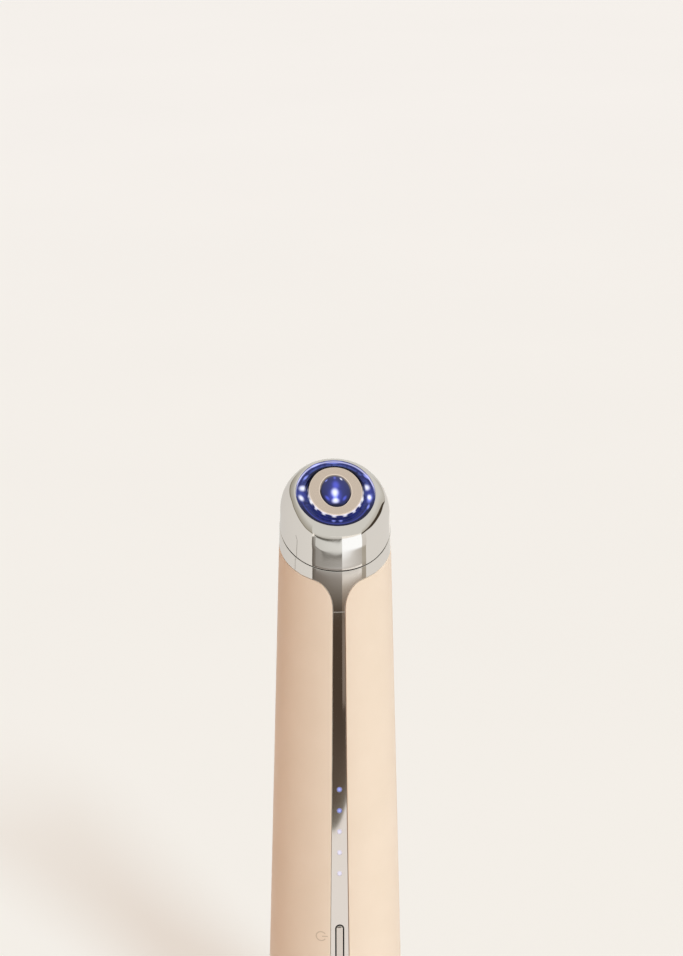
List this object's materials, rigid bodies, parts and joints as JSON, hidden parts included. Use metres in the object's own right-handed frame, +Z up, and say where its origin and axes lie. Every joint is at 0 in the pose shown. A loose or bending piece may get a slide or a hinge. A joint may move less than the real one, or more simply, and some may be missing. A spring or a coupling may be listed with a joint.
{
  "type": "rf facial device",
  "caption": "Standing tapered wand with a slanted electrode head, blue light ring, domed centre lens, front indicator strip and a bar-shaped power button.",
  "frame": {"origin": "centre of the footprint on the table, at the underside of the rubber foot ring", "axes": "+Z up along the body axis, -Y the front with the indicator strip and the button, +X to the viewer's right when the front is looked at"},
  "size_m": [0.0388, 0.0388, 0.1812],
  "materials": {
    "shell_plastic": "satin",
    "foot_rubber": "matte",
    "seal_rubber": "matte",
    "chrome_trim": "polished",
    "outer_electrode": "polished",
    "strip_chrome": "polished",
    "button_chrome": "polished",
    "light_guide": "gloss, lit from behind",
    "lens": "gloss, lit from behind",
    "inner_electrode": "satin",
    "insulator_black": "gloss",
    "inner_plastic": "matte",
    "board_white": "matte",
    "board_green": "matte",
    "led": "gloss",
    "light_pins": "gloss, lit from behind",
    "contact_gold": "polished",
    "screw_steel": "satin",
    "switch_black": "matte",
    "plunger_white": "matte",
    "chip_black": "matte",
    "ferrite": "matte",
    "cell_wrap": "satin",
    "wire_red": "satin",
    "socket_steel": "satin"
  },
  "bodies": {
    "body": {"body_shell": "shell_plastic", "base_cap": "shell_plastic", "foot_pad": "foot_rubber", "base_seal": "seal_rubber", "neck_collar": "chrome_trim", "neck_seal": "seal_rubber", "head_shell": "outer_electrode", "light_ring": "light_guide", "ring_insulator": "insulator_black", "inner_electrode": "inner_electrode", "centre_lens": "lens", "head_carrier": "inner_plastic", "led_board": "board_white", "ring_leds": "led", "centre_led": "led", "contact_pins": "contact_gold", "head_screws": "screw_steel", "front_strip": "strip_chrome", "indicator_pipes": "light_pins", "indicator_board": "board_green", "indicator_leds": "led", "tact_switch": "switch_black", "chassis": "inner_plastic", "main_board": "board_green", "board_chips": "chip_black", "power_inductor": "ferrite", "rf_transformer": "ferrite", "battery_cell": "cell_wrap", "battery_leads": "wire_red", "rf_leads": "wire_red", "charge_board": "board_green", "usb_socket": "socket_steel", "socket_tongue": "insulator_black", "board_screws": "screw_steel"},
    "button": {"power_button": "button_chrome", "switch_plunger": "plunger_white"}
  },
  "joints": [
    {"name": "button_press", "type": "slide", "parent": "body", "child": "button", "axis": [0, 1, 0], "range_m": [0, 0.00035], "stiffness_N_per_m": 1500, "springref_m": -0.0006}
  ]
}
